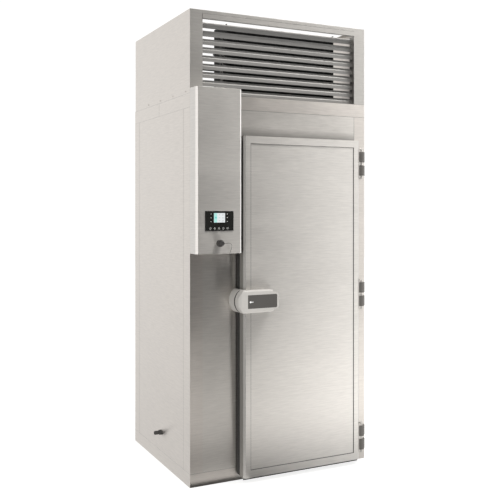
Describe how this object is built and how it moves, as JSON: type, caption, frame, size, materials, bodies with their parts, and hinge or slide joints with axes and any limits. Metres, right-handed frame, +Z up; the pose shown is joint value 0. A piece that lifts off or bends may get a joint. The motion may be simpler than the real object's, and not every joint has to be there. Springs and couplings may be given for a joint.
{
  "type": "blast chiller",
  "caption": "Upright insulated cabinet with an overlay door, lever latch, control column and louvred machine compartment, for fast cooling of food on a trolley.",
  "frame": {"origin": "middle of the cabinet's footprint, on the floor", "axes": "+Z up, -Y out of the door front, +X towards the hinge side"},
  "size_m": [1.128, 1.0306, 2.46],
  "materials": {
    "cabinet_steel": "satin",
    "front_steel": "satin",
    "door_steel": "satin",
    "column_steel": "satin",
    "louvre_steel": "satin",
    "inner_steel": "satin",
    "hardware_steel": "polished",
    "zinc_steel": "satin",
    "foam": "matte",
    "black_coil": "satin",
    "bare_coil": "satin",
    "black_paint": "satin",
    "motor_black": "satin",
    "fan_plastic": "satin",
    "copper": "satin",
    "handle_grey": "satin",
    "inlay_grey": "matte",
    "latch_black": "satin",
    "hinge_plastic": "satin",
    "display_black": "gloss",
    "screen_light": "gloss",
    "socket_grey": "satin",
    "cap_black": "satin",
    "tether_black": "satin",
    "rubber_black": "matte",
    "release_green": "gloss",
    "guide_plastic": "satin",
    "chassis_zinc": "satin",
    "gland_black": "matte"
  },
  "bodies": {
    "cabinet": {"floor_plate": "inner_steel", "base_frame": "cabinet_steel", "left_panel": "cabinet_steel", "right_panel": "cabinet_steel", "rear_panel": "cabinet_steel", "front_left_panel": "front_steel", "lintel_panel": "front_steel", "front_ceiling_panel": "cabinet_steel", "rear_ceiling_panel": "cabinet_steel", "corner_posts": "cabinet_steel", "panel_foam": "foam", "door_frame": "front_steel", "left_screen": "cabinet_steel", "right_screen": "cabinet_steel", "louvre_frame": "louvre_steel", "louvre_blades": "louvre_steel", "unit_tray": "zinc_steel", "compressor": "black_paint", "liquid_receiver": "black_paint", "condenser_coil": "black_coil", "condenser_shroud": "black_paint", "condenser_fan_motors": "motor_black", "refrigerant_pipes": "copper", "cable_gland": "gland_black", "control_column": "column_steel", "control_chassis": "chassis_zinc", "display_glass": "display_black", "display_screen": "screen_light", "probe_socket": "socket_grey", "socket_cap": "cap_black", "cap_tether": "tether_black", "tether_screw": "hardware_steel", "evaporator_coil": "bare_coil", "fan_panel": "inner_steel", "evaporator_fan_motors": "motor_black", "fan_guards": "hardware_steel", "drip_tray": "inner_steel", "drain_spigot": "gland_black", "drain_nut": "gland_black", "trolley_guides": "guide_plastic", "strike_housing": "handle_grey", "hinge_frame_leaves": "hardware_steel", "hinge_blocks": "hinge_plastic", "hinge_pins": "hardware_steel"},
    "door": {"door_leaf": "door_steel", "door_foam": "foam", "door_liner": "inner_steel", "door_gasket": "rubber_black", "door_sweep": "rubber_black", "hinge_door_leaves": "hardware_steel", "handle_base": "latch_black"},
    "lever": {"handle_lever": "handle_grey", "handle_inlay": "inlay_grey"},
    "release_knob": {"release_knob": "release_green"},
    "socket_ring": {"socket_ring": "socket_grey"},
    "evaporator_fan_low": {"evaporator_impeller_low": "fan_plastic"},
    "evaporator_fan_mid": {"evaporator_impeller_mid": "fan_plastic"},
    "evaporator_fan_top": {"evaporator_impeller_top": "fan_plastic"},
    "condenser_fan_left": {"condenser_impeller_left": "fan_plastic"},
    "condenser_fan_right": {"condenser_impeller_right": "fan_plastic"}
  },
  "joints": [
    {"name": "door_swing", "type": "hinge", "parent": "cabinet", "child": "door", "pos_m": [0.4825, -0.4955, 0.949], "axis": [0, 0, 1], "range_deg": [0, 110]},
    {"name": "handle_pull", "type": "hinge", "parent": "door", "child": "lever", "pos_m": [-0.3065, -0.5615, 0.952], "axis": [0, 0, -1], "range_deg": [0, 35], "stiffness_Nm_per_rad": 2, "springref_deg": -8.59},
    {"name": "release_push", "type": "slide", "parent": "door", "child": "release_knob", "axis": [0, -1, 0], "range_m": [0, 0.01], "stiffness_N_per_m": 400, "springref_m": -0.004},
    {"name": "socket_ring_turn", "type": "hinge", "parent": "cabinet", "child": "socket_ring", "pos_m": [-0.409, -0.5475, 1.256], "axis": [0, -1, 0], "range_deg": [0, 90]},
    {"name": "evaporator_fan_low_spin", "type": "hinge", "parent": "cabinet", "child": "evaporator_fan_low", "pos_m": [-0.2655, 0, 0.46], "axis": [1, 0, 0], "continuous": true},
    {"name": "evaporator_fan_mid_spin", "type": "hinge", "parent": "cabinet", "child": "evaporator_fan_mid", "pos_m": [-0.2655, 0, 0.98], "axis": [1, 0, 0], "continuous": true},
    {"name": "evaporator_fan_top_spin", "type": "hinge", "parent": "cabinet", "child": "evaporator_fan_top", "pos_m": [-0.2655, 0, 1.5], "axis": [1, 0, 0], "continuous": true},
    {"name": "condenser_fan_left_spin", "type": "hinge", "parent": "cabinet", "child": "condenser_fan_left", "pos_m": [-0.09125, -0.1085, 2.241], "axis": [0, -1, 0], "continuous": true},
    {"name": "condenser_fan_right_spin", "type": "hinge", "parent": "cabinet", "child": "condenser_fan_right", "pos_m": [0.24925, -0.1085, 2.241], "axis": [0, -1, 0], "continuous": true}
  ]
}
